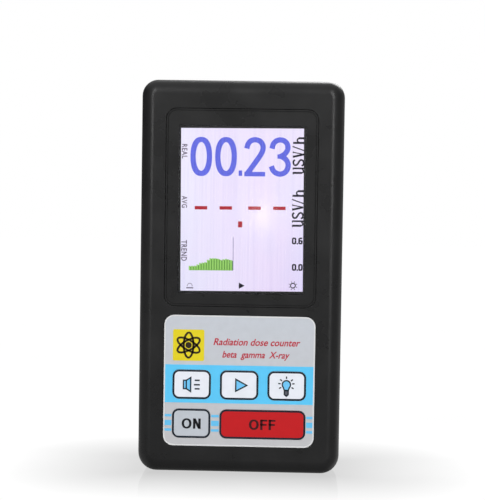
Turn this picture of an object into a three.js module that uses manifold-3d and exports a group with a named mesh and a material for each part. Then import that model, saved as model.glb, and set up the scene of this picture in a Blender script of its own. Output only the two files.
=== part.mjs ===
// A hand-held geiger counter: a two-shell plastic case with a colour display, a film keypad with
// five keys, and a glass counter tube behind the main board. Millimetres.
// X is right, Y is back and Z is up. The origin is at the middle of the lower end, on which the
// counter stands.

import {
  BoxGeometry,
  BufferAttribute,
  BufferGeometry,
  CatmullRomCurve3,
  CylinderGeometry,
  ExtrudeGeometry,
  Group,
  LatheGeometry,
  Mesh,
  MeshStandardMaterial,
  Path,
  Shape,
  Vector2,
  Vector3,
} from "three";
import { mergeVertices } from "three/addons/utils/BufferGeometryUtils.js";
import Module from "manifold-3d";

const wasm = await Module();
wasm.setup();

// ---------------------------------------------------------------- driving dimensions

// Case.
const caseWidth = 60.6;
const caseHeight = 117.7;
const caseDepth = 25.0;
const caseWall = 2.2;
const edgeRadius = 4.0; // round edge of the front and back faces
const topCorner = 4.8; // corner radii of the outline
const bottomCorner = 5.6;
const leastCorner = 0.4; // what is left of an inner corner where the wall takes the rest

// Seam between the shells. The back shell's lip stands inside the front shell's rim.
const seamY = 0.0;
const seamGap = 0.15;
const lipHeight = 1.4;
const lipClearance = 0.2;

// Display window, a framed plate let into the front face.
const windowWidth = 45.4;
const windowHeight = 59.1;
const windowCorner = 3.2;
const windowX = -0.1;
const windowZ = 79.7;
const bezelThickness = 1.2;
const bezelGap = 0.15; // beside and behind the plate
const bezelLine = 0.42; // from the plate's edge to the fine groove round it
const bezelLineWidth = 0.2;
const bezelLineDepth = 0.35;
const lensThickness = 0.8;
const lensMargin = 1.2; // how far the lens runs past the bezel's opening
const lensGap = 0.3;

// Display module, a 2.4 inch panel of 240 by 320 dots.
const litWidth = 36.72;
const litHeight = 48.96;
const litX = 0.1;
const litZ = 79.16;
const litBorder = 0.6; // dark border that the bezel leaves round the picture
const panelWidth = 42.72;
const panelHeight = 60.26;
const panelThickness = 1.5;
const panelTopMargin = 3.0; // from the picture's top to the panel's top
const panelClearance = 0.1; // from the case's inner face to the panel
const trayThickness = 0.95;
const trayMargin = 0.4;
const foamLeast = 1.0;
const foamWidth = 30.0;
const foamHeight = 40.0;
const flexWidth = 18.0;
const flexThickness = 0.2;
const flexDrop = 2.6; // straight part below the panel
const flexConnectorDepth = 3.6;
const flexConnectorHeight = 1.4;
const flexConnectorMargin = 1.5;

// Film keypad in its recess.
const filmWidth = 45.2;
const filmHeight = 39.3;
const filmCorner = 3.0;
const filmX = 0.03;
const filmBottom = 8.22; // from the lower end
const filmThickness = 0.4;
const filmDrop = 0.1; // film below the case's front face
const filmGap = 0.2;
const adhesiveThickness = 0.35;
const layerGap = 0.05; // between pieces that lie on each other

// Keys: a row of three above a narrow and a wide one.
const keyHeight = 8.64;
const keyCorner = 1.9;
const keySideMargin = 2.7; // from the film's edge to the outer keys
const keyColumnGap = 2.91;
const keyShift = 0.06; // the keys' middle to the right of the film's middle
const keyBottomMargin = 2.42;
const keyRowGap = 3.12;
const keyGap = 0.12; // between a key and the film round it
const adhesiveGap = 0.5; // between a key and the adhesive round it
const keyTravel = 0.3;
const bossRadius = 2.0;
const bossHoleGap = 0.5;
const bossReach = 0.65; // how far the boss stops short of the case's inner face

// Push switches under the keys.
const switchSide = 6.0;
const switchHeight = 3.5;
const switchClearance = 0.2; // from the switch to the case's inner face
const stemRadius = 1.7;
const stemGap = 0.1;
const stemHold = 1.6; // length of stem inside the switch
const stemRoom = 0.3; // left under the stem when it is pressed

// Main board.
const boardThickness = 1.6;
const boardGap = 0.6; // from the case's inner walls
const boardCorner = 2.0;

// Case screws, driven from the back through the board into the front shell.
const postRadius = 3.0;
const postInset = 6.1; // post centre from the case's side
const postEndInset = 6.8; // and from its end
const backPostExtra = 0.4;
const screwRadius = 1.0;
const screwPilotGap = 0.12;
const screwHoleGap = 0.35;
const screwHeadRadius = 2.1;
const screwHeadHeight = 1.6;
const screwHeadGap = 0.4;
const screwSink = 6.5; // from the back face to the seat of the head
const screwTipLeft = 0.4; // left under the tip of the screw
const pilotFloor = 1.4; // plastic left under the pilot hole
const recessWidth = 0.6;
const recessLength = 2.6;
const recessDepth = 0.9;

// Battery, a flat pouch cell.
const batteryWidth = 34.0;
const batteryHeight = 50.0;
const batteryThickness = 5.2;
const batteryCorner = 2.0;
const batteryRound = 1.2;
const batterySide = 1.2; // from the case's inner side
const batteryBottom = 12.5; // from the lower end
const tapeThickness = 0.5;
const tapeMargin = 5.0;

// Counter tube beside the battery.
const tubeRadius = 5.0;
const tubeLength = 88.0;
const tubeNeckRadius = 3.0;
const tubeShoulder = 4.0;
const tubeZ = 59.3;
const tubeSideGap = 2.8; // between the battery and the tube
const tubeLift = 1.0; // between the board and the tube
const capRadius = 3.6;
const capLength = 6.5;
const capEndThickness = 1.0;
const capGap = 0.2;
const clipWidth = 4.5;
const clipThickness = 0.5;
const clipGap = 0.3;
const clipMouth = 4.6;
const clipFootWidth = 5.0;

// Parts on the board's back, placed from the battery's top and the left wall.
const connectorSize = [8.0, 4.6, 5.0];
const connectorRise = 7.0;
const connectorSide = 8.0;
const leadRadius = 0.6;
const leadSpacing = 3.0;
const leadGap = 0.3;
const leadBow = 1.6;
const transformerSize = [12.0, 8.5, 11.0];
const transformerPlace = [9.0, 20.0];
const coreNotch = 2.2;
const capacitorSize = [5.0, 9.0, 10.5];
const capacitorPlace = [21.0, 20.0];
const chipSize = [7.0, 1.4, 7.0];
const chipPlace = [28.5, 9.0];
const crystalRadius = 1.8;
const crystalLength = 8.0;
const crystalPlace = [18.5, 8.5];
const buzzerRadius = 6.0;
const buzzerHeight = 8.5;
const buzzerPlace = [22.0, 36.0];
const buzzerMouth = 1.2;
const buzzerMouthDepth = 2.5;

// Charging socket in the lower end.
const socketWidth = 7.9;
const socketHeight = 3.0;
const socketLength = 6.0;
const socketWall = 0.4;
const socketBack = 1.0;
const socketTongue = 0.7;
const socketTongueMargin = 1.4;
const socketInset = 0.8; // mouth behind the outside of the case
const socketGap = 0.3;
const chargeChipSize = [5.0, 1.5, 4.0];
const chargeChipPlace = [11.0, 5.0];

// Openings in the back shell.
const soundHoleRadius = 0.75;
const soundHolePitch = 2.6;
const soundHoleCount = 6;
const slotLength = 13.0;
const slotWidth = 1.6;
const slotPitch = 4.2;
const slotCount = 7;

// Fineness of the round shapes.
const cornerSteps = 9;
const edgeSteps = 7;
const smallSteps = 5;
const roundSteps = 24;
const pegSteps = 16;
const leadSides = 8;
const leadSteps = 14;

// ---------------------------------------------------------------- places worked out from them

const frontY = -caseDepth / 2;
const backY = caseDepth / 2;
const innerFrontY = frontY + caseWall;
const innerBackY = backY - caseWall;
const innerHalfWidth = caseWidth / 2 - caseWall;
const middleZ = caseHeight / 2;
const over = 1.0; // how far a cutting tool runs past what it cuts
const fuse = 0.5; // how far joined solids run into each other

const bezelBackY = frontY + bezelThickness;
const windowFloorY = bezelBackY + layerGap;
const openingWidth = litWidth + 2 * litBorder;
const openingHeight = litHeight + 2 * litBorder;
const lensFrontY = bezelBackY + layerGap;
const lensBackY = lensFrontY + lensThickness;
const panelFrontY = Math.max(innerFrontY, lensBackY) + panelClearance;
const panelBackY = panelFrontY + panelThickness;
const trayFrontY = panelBackY + layerGap;
const trayBackY = trayFrontY + trayThickness;
const panelTop = litZ + litHeight / 2 + panelTopMargin;
const panelZ = panelTop - panelHeight / 2;

const displayStack = trayBackY + foamLeast + 2 * layerGap - innerFrontY;
const boardFrontY = innerFrontY + Math.max(displayStack, switchHeight + switchClearance);
const boardBackY = boardFrontY + boardThickness;

const filmFrontY = frontY + filmDrop;
const filmBackY = filmFrontY + filmThickness;
const adhesiveFrontY = filmBackY + layerGap / 2;
const adhesiveBackY = adhesiveFrontY + adhesiveThickness;
const recessFloorY = adhesiveBackY + layerGap / 2;
const filmZ = filmBottom + filmHeight / 2;
const bossBackY = innerFrontY - bossReach;

const keyWidth = (filmWidth - 2 * keySideMargin - 2 * keyColumnGap) / 3;
const keyPitch = keyWidth + keyColumnGap;
const lowerRowZ = filmBottom + keyBottomMargin + keyHeight / 2;
const upperRowZ = lowerRowZ + keyHeight + keyRowGap;
const keysX = filmX + keyShift;
const keys = {
  sound: { x: keysX - keyPitch, z: upperRowZ, width: keyWidth },
  play: { x: keysX, z: upperRowZ, width: keyWidth },
  light: { x: keysX + keyPitch, z: upperRowZ, width: keyWidth },
  on: { x: keysX - keyPitch, z: lowerRowZ, width: keyWidth },
  off: { x: keysX + keyPitch / 2, z: lowerRowZ, width: keyWidth + keyPitch },
};

const postX = caseWidth / 2 - postInset;
const posts = [
  { x: -postX, z: postEndInset },
  { x: postX, z: postEndInset },
  { x: -postX, z: caseHeight - postEndInset },
  { x: postX, z: caseHeight - postEndInset },
];
const backPostRadius = Math.max(postRadius, screwHeadRadius + screwHeadGap) + backPostExtra;
const seatY = backY - screwSink;
const pilotY = frontY + pilotFloor;

const batteryX = -innerHalfWidth + batterySide + batteryWidth / 2;
const batteryZ = batteryBottom + batteryHeight / 2;
const batteryTop = batteryBottom + batteryHeight;
const tapeFrontY = boardBackY + layerGap;
const batteryFrontY = tapeFrontY + tapeThickness + layerGap;
const batteryY = batteryFrontY + batteryThickness / 2;

const tubeX = batteryX + batteryWidth / 2 + tubeSideGap + tubeRadius;
const tubeY = boardBackY + tubeLift + tubeRadius;
const partsX = -innerHalfWidth;
const partsZ = batteryTop;
const partsY = boardBackY + layerGap;
const buzzerX = partsX + buzzerPlace[0];
const buzzerZ = partsZ + buzzerPlace[1];
const socketY = partsY + socketHeight / 2;

// ---------------------------------------------------------------- shapes

// Points of a rectangle with round corners in the XZ plane, anticlockwise, with none repeated.
function roundedPoints({ x = 0, z = 0, width, height, top, bottom = top, steps = cornerSteps }) {
  const corners = [
    { right: 1, up: 1, radius: top },
    { right: -1, up: 1, radius: top },
    { right: -1, up: -1, radius: bottom },
    { right: 1, up: -1, radius: bottom },
  ];
  const points = [];
  corners.forEach(({ right, up, radius }, quarter) => {
    for (let step = 0; step <= steps; step += 1) {
      const angle = ((quarter + step / steps) * Math.PI) / 2;
      const px = x + right * (width / 2 - radius) + radius * Math.cos(angle);
      const pz = z + up * (height / 2 - radius) + radius * Math.sin(angle);
      points.push(new Vector2(px, pz));
    }
  });
  const apart = 1e-4;
  return points.filter((p, i) => p.distanceTo(points.at(i - 1)) > apart);
}

// The case's outline, drawn in by an inset.
function casePoints(inset) {
  return roundedPoints({
    z: middleZ,
    width: caseWidth - 2 * inset,
    height: caseHeight - 2 * inset,
    top: Math.max(topCorner - inset, leastCorner),
    bottom: Math.max(bottomCorner - inset, leastCorner),
  });
}

function keyPoints(key, grow) {
  return roundedPoints({
    x: key.x,
    z: key.z,
    width: key.width + 2 * grow,
    height: keyHeight + 2 * grow,
    top: keyCorner + grow,
    steps: smallSteps,
  });
}

function circlePoints(x, z, radius, steps = pegSteps) {
  const points = [];
  for (let step = 0; step < steps; step += 1) {
    const angle = (2 * Math.PI * step) / steps;
    points.push(new Vector2(x + radius * Math.cos(angle), z + radius * Math.sin(angle)));
  }
  return points;
}

// A flat plate of this outline, with its holes, between two places in Y.
function slab(points, fromY, toY, holes = []) {
  const shape = new Shape(points);
  shape.holes = holes.map((hole) => new Path(hole));
  const geometry = new ExtrudeGeometry(shape, { depth: toY - fromY, bevelEnabled: false });
  return geometry.rotateX(Math.PI / 2).translate(0, toY, 0);
}

// The same with its front and back edges rounded.
function roundedSlab(points, fromY, toY, radius, steps) {
  const geometry = new ExtrudeGeometry(new Shape(points), {
    depth: toY - fromY - 2 * radius,
    bevelThickness: radius,
    bevelSize: radius,
    bevelOffset: -radius,
    bevelSegments: steps,
  });
  return geometry.rotateX(Math.PI / 2).translate(0, toY - radius, 0);
}

function box([width, depth, height], x, y, z) {
  return new BoxGeometry(width, depth, height).translate(x, y, z);
}

// A box on the board's back, from its size and its place right of and above the battery's top left.
function boardBox(size, place) {
  return box(size, partsX + place[0], partsY + size[1] / 2, partsZ + place[1]);
}

// A round peg along Y.
function peg(radius, fromY, toY, x, z, steps = pegSteps) {
  const geometry = new CylinderGeometry(radius, radius, toY - fromY, steps);
  return geometry.translate(x, (fromY + toY) / 2, z);
}

// A turned solid along Z, from radius and height pairs that start and end on the axis.
function turnedZ(profile, steps = roundSteps) {
  const points = profile.map(([radius, height]) => new Vector2(radius, height));
  return new LatheGeometry(points, steps).rotateX(Math.PI / 2);
}

// ---------------------------------------------------------------- joins and cuts

function solid(geometry) {
  const bare = geometry.clone();
  bare.deleteAttribute("normal");
  bare.deleteAttribute("uv");
  const merged = mergeVertices(bare);
  return new wasm.Manifold(
    new wasm.Mesh({
      numProp: 3,
      vertProperties: merged.attributes.position.array,
      triVerts: Uint32Array.from(merged.index.array),
    }),
  );
}

function joined(base, ...others) {
  return others.reduce((whole, other) => whole.add(solid(other)), base);
}

function cut(base, ...tools) {
  return tools.reduce((rest, tool) => rest.subtract(solid(tool)), base);
}

function shapeOf(manifold) {
  const mesh = manifold.getMesh();
  const geometry = new BufferGeometry();
  geometry.setAttribute("position", new BufferAttribute(mesh.vertProperties, 3));
  geometry.setIndex(new BufferAttribute(mesh.triVerts, 1));
  geometry.computeVertexNormals();
  return geometry;
}

// ---------------------------------------------------------------- finishes

const finishes = {
  casePlastic: { color: 0x2d2d2e, roughness: 0.55, metalness: 0 },
  bezelPlastic: { color: 0x2b2b2c, roughness: 0.5, metalness: 0 },
  clear: { color: 0xdfe6ea, roughness: 0.05, metalness: 0 },
  picture: { color: 0xece2fb, roughness: 0.25, metalness: 0 },
  tray: { color: 0xb9bcbe, roughness: 0.35, metalness: 0.8 },
  foam: { color: 0x1d1d1f, roughness: 0.95, metalness: 0 },
  flex: { color: 0xb4702a, roughness: 0.45, metalness: 0 },
  film: { color: 0xc4c8d0, roughness: 0.35, metalness: 0 },
  whiteKey: { color: 0xf4f7ff, roughness: 0.3, metalness: 0 },
  redKey: { color: 0xc8282d, roughness: 0.3, metalness: 0 },
  adhesive: { color: 0xe8e6df, roughness: 0.8, metalness: 0 },
  blackPart: { color: 0x18181a, roughness: 0.5, metalness: 0 },
  board: { color: 0x14532d, roughness: 0.4, metalness: 0 },
  glass: { color: 0x8f9aa0, roughness: 0.08, metalness: 0 },
  nickel: { color: 0xc9c8c4, roughness: 0.25, metalness: 1 },
  ferrite: { color: 0x3b3a38, roughness: 0.7, metalness: 0 },
  redCoat: { color: 0x9c3323, roughness: 0.45, metalness: 0 },
  pouch: { color: 0xc3c6c8, roughness: 0.35, metalness: 0.7 },
  whitePlastic: { color: 0xeeece4, roughness: 0.5, metalness: 0 },
  redLead: { color: 0xb81f1f, roughness: 0.5, metalness: 0 },
  blackLead: { color: 0x141414, roughness: 0.5, metalness: 0 },
  steel: { color: 0x55575a, roughness: 0.35, metalness: 1 },
};

const counter = new Group();

function place(name, shape, finish) {
  const geometry = shape.isBufferGeometry ? shape : shapeOf(shape);
  const mesh = new Mesh(geometry, new MeshStandardMaterial(finishes[finish]));
  mesh.name = name;
  counter.add(mesh);
}

// ---------------------------------------------------------------- case

function caseBlank() {
  return solid(roundedSlab(casePoints(0), frontY, backY, edgeRadius, edgeSteps));
}

// A block over the whole outline, to keep one side of the seam.
function halfSpace(fromY, toY) {
  const size = [caseWidth + 2 * over, toY - fromY, caseHeight + 2 * over];
  return solid(box(size, 0, (fromY + toY) / 2, middleZ));
}

// The hole in the lower end for the charging plug.
function socketHole() {
  const size = [socketWidth + 2 * socketGap, socketHeight + 2 * socketGap, caseWall + 2 * over];
  return box(size, 0, socketY, caseWall / 2);
}

function frontShell() {
  const rimY = seamY - seamGap / 2;
  let shell = caseBlank().intersect(halfSpace(frontY - over, rimY));
  shell = cut(
    shell,
    slab(casePoints(caseWall), innerFrontY, rimY + over),
    slab(casePoints(caseWall / 2), seamY - lipHeight - lipClearance, rimY + over),
  );
  for (const { x, z } of posts) {
    shell = joined(shell, peg(postRadius, innerFrontY - fuse, boardFrontY - layerGap, x, z));
    shell = cut(shell, peg(screwRadius + screwPilotGap, pilotY, boardFrontY + over, x, z));
  }
  const window = { x: windowX, z: windowZ, steps: smallSteps };
  const pocket = { ...window, width: windowWidth, height: windowHeight, top: windowCorner };
  shell = cut(shell, slab(roundedPoints(pocket), frontY - over, windowFloorY));
  const gap = 2 * (lensMargin + lensGap);
  const light = {
    x: litX,
    z: litZ,
    width: openingWidth + gap,
    height: openingHeight + gap,
    top: leastCorner,
    steps: smallSteps,
  };
  shell = cut(shell, slab(roundedPoints(light), frontY - over, innerFrontY + over));
  const recess = {
    x: filmX,
    z: filmZ,
    width: filmWidth + 2 * filmGap,
    height: filmHeight + 2 * filmGap,
    top: filmCorner + filmGap,
  };
  shell = cut(shell, slab(roundedPoints(recess), frontY - over, recessFloorY));
  for (const { x, z } of Object.values(keys)) {
    shell = cut(shell, peg(bossRadius + bossHoleGap, frontY - over, innerFrontY + over, x, z));
  }
  return cut(shell, socketHole());
}

function backShell() {
  const rimY = seamY + seamGap / 2;
  let shell = caseBlank().intersect(halfSpace(rimY, backY + over));
  shell = joined(shell, slab(casePoints(caseWall / 2 + lipClearance), seamY - lipHeight, rimY + fuse));
  shell = cut(shell, slab(casePoints(caseWall), seamY - lipHeight - over, innerBackY));
  for (const { x, z } of posts) {
    shell = joined(shell, peg(backPostRadius, boardBackY + layerGap, innerBackY + fuse, x, z));
    shell = cut(
      shell,
      peg(screwRadius + screwHoleGap, boardBackY - over, backY, x, z),
      peg(screwHeadRadius + screwHeadGap, seatY, backY + over, x, z),
    );
  }
  for (let hole = 0; hole <= soundHoleCount; hole += 1) {
    const ring = hole < soundHoleCount ? soundHolePitch : 0;
    const angle = (2 * Math.PI * hole) / soundHoleCount;
    const x = buzzerX + ring * Math.cos(angle);
    const z = buzzerZ + ring * Math.sin(angle);
    shell = cut(shell, peg(soundHoleRadius, innerBackY - over, backY + over, x, z));
  }
  for (let slot = 0; slot < slotCount; slot += 1) {
    const z = tubeZ + (slot - (slotCount - 1) / 2) * slotPitch;
    const outline = { x: tubeX, z, width: slotLength, height: slotWidth, top: slotWidth / 2 };
    const points = roundedPoints({ ...outline, steps: smallSteps });
    shell = cut(shell, slab(points, innerBackY - over, backY + over));
  }
  return cut(shell, socketHole());
}

// ---------------------------------------------------------------- display window

function windowOpening() {
  return roundedPoints({
    x: litX,
    z: litZ,
    width: openingWidth,
    height: openingHeight,
    top: leastCorner,
    steps: smallSteps,
  });
}

function bezel() {
  const plate = (inset) =>
    roundedPoints({
      x: windowX,
      z: windowZ,
      width: windowWidth - 2 * inset,
      height: windowHeight - 2 * inset,
      top: windowCorner - inset,
      steps: smallSteps,
    });
  const lineInset = bezelGap + bezelLine;
  const lineInside = [plate(lineInset + bezelLineWidth)];
  const line = slab(plate(lineInset), frontY - over, frontY + bezelLineDepth, lineInside);
  const whole = solid(slab(plate(bezelGap), frontY, bezelBackY));
  return cut(whole, line, slab(windowOpening(), frontY - over, bezelBackY + over));
}

function plainPlate(x, z, width, height, fromY, toY) {
  const outline = { x, z, width, height, top: leastCorner, steps: smallSteps };
  return slab(roundedPoints(outline), fromY, toY);
}

function lens() {
  const grow = 2 * lensMargin;
  return plainPlate(litX, litZ, openingWidth + grow, openingHeight + grow, lensFrontY, lensBackY);
}

// ---------------------------------------------------------------- display module

function displayFoam() {
  const fromY = trayBackY + layerGap;
  return plainPlate(litX, panelZ, foamWidth, foamHeight, fromY, boardFrontY - layerGap);
}

const connectorY = boardFrontY - layerGap - flexConnectorHeight / 2;
const flexTop = panelTop - panelHeight - leadGap;
const flexY = panelFrontY + panelThickness / 2;
const flexRadius = (connectorY - flexY) / 2;
const flexBendZ = flexTop - flexDrop;
const flexBottom = flexBendZ - 2 * flexRadius - flexConnectorMargin;

// One side of the flat cable in the YZ plane, this far back from its middle. It leaves the panel's
// lower edge and steps back to its connector in two quarter bends.
function flexSide(shift) {
  const points = [new Vector2(flexY + shift, flexTop)];
  const middleY = flexY + flexRadius;
  for (let step = 0; step <= smallSteps; step += 1) {
    const angle = (Math.PI / 2) * (step / smallSteps);
    const radius = flexRadius - shift;
    const y = middleY - radius * Math.cos(angle);
    points.push(new Vector2(y, flexBendZ - radius * Math.sin(angle)));
  }
  for (let step = 1; step <= smallSteps; step += 1) {
    const angle = (Math.PI / 2) * (step / smallSteps);
    const radius = flexRadius + shift;
    const z = flexBendZ - 2 * flexRadius + radius * Math.cos(angle);
    points.push(new Vector2(middleY + radius * Math.sin(angle), z));
  }
  points.push(new Vector2(connectorY + shift, flexBottom));
  return points;
}

function displayFlex() {
  const half = flexThickness / 2;
  const outline = new Shape([...flexSide(-half), ...flexSide(half).reverse()]);
  const ribbon = new ExtrudeGeometry(outline, { depth: flexWidth, bevelEnabled: false });
  // The outline's own axes become Y and Z, and its depth becomes X.
  return ribbon
    .rotateX(Math.PI / 2)
    .rotateZ(Math.PI / 2)
    .translate(litX - flexWidth / 2, 0, 0);
}

function displayConnector() {
  const size = [flexWidth + 2 * flexConnectorMargin, flexConnectorHeight, flexConnectorDepth];
  return box(size, litX, connectorY, flexBottom - leadGap - flexConnectorDepth / 2);
}

// ---------------------------------------------------------------- keypad

function filmPoints(inset) {
  return roundedPoints({
    x: filmX,
    z: filmZ,
    width: filmWidth - 2 * inset,
    height: filmHeight - 2 * inset,
    top: filmCorner - inset,
  });
}

function overlay() {
  const holes = Object.values(keys).map((key) => keyPoints(key, keyGap));
  return slab(filmPoints(0), filmFrontY, filmBackY, holes);
}

function adhesive() {
  const holes = Object.values(keys).map((key) => keyPoints(key, adhesiveGap));
  return slab(filmPoints(adhesiveGap), adhesiveFrontY, adhesiveBackY, holes);
}

function keyCap(key) {
  const cap = solid(slab(keyPoints(key, 0), filmFrontY, filmBackY));
  return joined(cap, peg(bossRadius, filmBackY - filmThickness / 2, bossBackY, key.x, key.z));
}

const switchFrontY = boardFrontY - layerGap - switchHeight;
const stemBackY = switchFrontY + stemHold;

function switchHousing(key) {
  const size = [switchSide, switchHeight, switchSide];
  const housing = solid(box(size, key.x, switchFrontY + switchHeight / 2, key.z));
  const floorY = stemBackY + keyTravel + stemRoom;
  return cut(housing, peg(stemRadius + stemGap, switchFrontY - over, floorY, key.x, key.z));
}

function switchStem(key) {
  return peg(stemRadius, bossBackY + layerGap, stemBackY, key.x, key.z);
}

// ---------------------------------------------------------------- board and screws

function mainBoard() {
  const inset = caseWall + boardGap;
  const outline = roundedPoints({
    z: middleZ,
    width: caseWidth - 2 * inset,
    height: caseHeight - 2 * inset,
    top: boardCorner,
    steps: smallSteps,
  });
  const holes = posts.map(({ x, z }) => circlePoints(x, z, screwRadius + screwHoleGap));
  return slab(outline, boardFrontY, boardBackY, holes);
}

function caseScrew({ x, z }) {
  const tipY = pilotY + screwTipLeft;
  const domeY = seatY + layerGap + screwHeadHeight;
  const profile = [
    [0, tipY],
    [screwRadius, tipY + screwRadius],
    [screwRadius, seatY + layerGap],
    [screwHeadRadius, seatY + layerGap],
    [screwHeadRadius, domeY - screwHeadHeight / 3],
    [screwHeadRadius * 0.7, domeY],
    [0, domeY],
  ];
  const points = profile.map(([radius, y]) => new Vector2(radius, y));
  const screw = solid(new LatheGeometry(points, pegSteps).translate(x, 0, z));
  const y = domeY - recessDepth / 2 + over / 2;
  const depth = recessDepth + over;
  return cut(
    screw,
    box([recessLength, depth, recessWidth], x, y, z),
    box([recessWidth, depth, recessLength], x, y, z),
  );
}

// ---------------------------------------------------------------- battery

function battery() {
  const outline = roundedPoints({
    x: batteryX,
    z: batteryZ,
    width: batteryWidth,
    height: batteryHeight,
    top: batteryCorner,
    steps: smallSteps,
  });
  const toY = batteryFrontY + batteryThickness;
  return roundedSlab(outline, batteryFrontY, toY, batteryRound, smallSteps);
}

function batteryTape() {
  const width = batteryWidth - 2 * tapeMargin;
  const height = batteryHeight - 2 * tapeMargin;
  const toY = tapeFrontY + tapeThickness;
  return plainPlate(batteryX, batteryZ, width, height, tapeFrontY, toY);
}

const connectorX = partsX + connectorSide;
const connectorZ = batteryTop + connectorRise + connectorSize[2] / 2;

function batteryConnector() {
  return box(connectorSize, connectorX, partsY + connectorSize[1] / 2, connectorZ);
}

// A lead from the battery's top edge, bowed back, into the connector's lower face.
function batteryLead(side) {
  const x = connectorX + (side * leadSpacing) / 2;
  const lowZ = batteryTop + leadGap;
  const highZ = batteryTop + connectorRise - leadGap;
  const endY = partsY + connectorSize[1] / 2;
  const route = new CatmullRomCurve3([
    new Vector3(x, batteryY, lowZ),
    new Vector3(x, batteryY + leadBow / 2, lowZ + (highZ - lowZ) * 0.25),
    new Vector3(x + (side * leadBow) / 2, (batteryY + endY) / 2 + leadBow, (lowZ + highZ) / 2),
    new Vector3(x, endY + leadBow / 4, highZ - (highZ - lowZ) * 0.2),
    new Vector3(x, endY, highZ),
  ]);
  return new ExtrudeGeometry(new Shape(circlePoints(0, 0, leadRadius, leadSides)), {
    steps: leadSteps,
    extrudePath: route,
  });
}

// ---------------------------------------------------------------- counter tube

function counterTube() {
  const half = tubeLength / 2 - capEndThickness - capGap;
  const shoulder = tubeLength / 2 - capLength - capGap;
  const profile = [
    [0, -half],
    [tubeNeckRadius, -half],
    [tubeNeckRadius, -shoulder],
    [tubeRadius, -shoulder + tubeShoulder],
    [tubeRadius, shoulder - tubeShoulder],
    [tubeNeckRadius, shoulder],
    [tubeNeckRadius, half],
    [0, half],
  ];
  return turnedZ(profile.map(([r, h]) => [r, -h]).reverse()).translate(tubeX, tubeY, tubeZ);
}

// A metal cup over the end of the tube, open towards the tube's middle.
function tubeCap(end) {
  const outside = tubeLength / 2;
  const mouth = outside - capLength;
  const cup = new CylinderGeometry(capRadius, capRadius, capLength, roundSteps);
  const hollowRadius = tubeNeckRadius + capGap;
  const hollowLength = capLength - capEndThickness + over;
  const hollow = new CylinderGeometry(hollowRadius, hollowRadius, hollowLength, roundSteps);
  cup.rotateX(Math.PI / 2).translate(tubeX, tubeY, tubeZ + (end * (outside + mouth)) / 2);
  const hollowMiddle = mouth - over + hollowLength / 2;
  hollow.rotateX(Math.PI / 2).translate(tubeX, tubeY, tubeZ + end * hollowMiddle);
  return cut(solid(cup), hollow);
}

// A spring clip on the board that grips the cap and opens to the back.
function tubeClip(end) {
  const innerRadius = capRadius + clipGap;
  const outerRadius = innerRadius + clipThickness;
  const z = tubeZ + end * (tubeLength / 2 - capLength / 2);
  const ring = (radius, length) =>
    new CylinderGeometry(radius, radius, length, roundSteps)
      .rotateX(Math.PI / 2)
      .translate(tubeX, tubeY, z);
  const footFront = boardBackY + layerGap;
  const footDepth = tubeY - footFront;
  const foot = box([clipFootWidth, footDepth, clipWidth], tubeX, footFront + footDepth / 2, z);
  const whole = joined(solid(ring(outerRadius, clipWidth)), foot);
  const mouth = box([clipMouth, 2 * outerRadius, clipWidth + over], tubeX, tubeY + outerRadius, z);
  return cut(whole, ring(innerRadius, clipWidth + over), mouth);
}

// ---------------------------------------------------------------- parts on the board

function transformer() {
  const [width, depth, height] = transformerSize;
  const [x, z] = [partsX + transformerPlace[0], partsZ + transformerPlace[1]];
  const y = partsY + depth / 2;
  const notch = [coreNotch + over, depth - 2 * coreNotch, height - 2 * coreNotch];
  const side = width / 2 - (coreNotch - over) / 2;
  return cut(
    solid(boardBox(transformerSize, transformerPlace)),
    box(notch, x - side, y, z),
    box(notch, x + side, y, z),
  );
}

function crystal() {
  const [x, z] = [partsX + crystalPlace[0], partsZ + crystalPlace[1]];
  const can = new CylinderGeometry(crystalRadius, crystalRadius, crystalLength, pegSteps);
  return can.rotateX(Math.PI / 2).translate(x, partsY + crystalRadius, z);
}

function buzzer() {
  const topY = partsY + buzzerHeight;
  const can = solid(peg(buzzerRadius, partsY, topY, buzzerX, buzzerZ, roundSteps));
  return cut(can, peg(buzzerMouth, topY - buzzerMouthDepth, topY + over, buzzerX, buzzerZ));
}

function chargeSocket() {
  const z = socketInset + socketLength / 2;
  const shell = solid(box([socketWidth, socketHeight, socketLength], 0, socketY, z));
  const insideWidth = socketWidth - 2 * socketWall;
  const insideHeight = socketHeight - 2 * socketWall;
  const insideLength = socketLength - socketBack + over;
  const insideZ = socketInset - over + insideLength / 2;
  const hollow = cut(shell, box([insideWidth, insideHeight, insideLength], 0, socketY, insideZ));
  const tongueLength = socketLength - socketTongueMargin;
  const tongueZ = socketInset + socketTongueMargin + tongueLength / 2;
  const tongueWidth = insideWidth - socketTongueMargin;
  return joined(hollow, box([tongueWidth, socketTongue, tongueLength], 0, socketY, tongueZ));
}

function chargeChip() {
  const [x, z] = chargeChipPlace;
  return box(chargeChipSize, x, partsY + chargeChipSize[1] / 2, caseWall + boardGap + z);
}

// ---------------------------------------------------------------- the whole counter

place("front_shell", frontShell(), "casePlastic");
place("back_shell", backShell(), "casePlastic");

place("screen_bezel", bezel(), "bezelPlastic");
place("window_lens", lens(), "clear");
place(
  "display_panel",
  plainPlate(litX, panelZ, panelWidth, panelHeight, panelFrontY, panelBackY),
  "picture",
);
const trayWidth = panelWidth + 2 * trayMargin;
const trayHeight = panelHeight + 2 * trayMargin;
place("display_tray", plainPlate(litX, panelZ, trayWidth, trayHeight, trayFrontY, trayBackY), "tray");
place("display_foam", displayFoam(), "foam");
place("display_flex", displayFlex(), "flex");
place("display_connector", displayConnector(), "blackPart");

place("keypad_overlay", overlay(), "film");
place("overlay_adhesive", adhesive(), "adhesive");
for (const [name, key] of Object.entries(keys)) {
  const finish = { on: "film", off: "redKey" }[name] ?? "whiteKey";
  place(`key_${name}`, keyCap(key), finish);
  place(`stem_${name}`, switchStem(key), "blackPart");
  place(`switch_${name}`, switchHousing(key), "blackPart");
}

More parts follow.
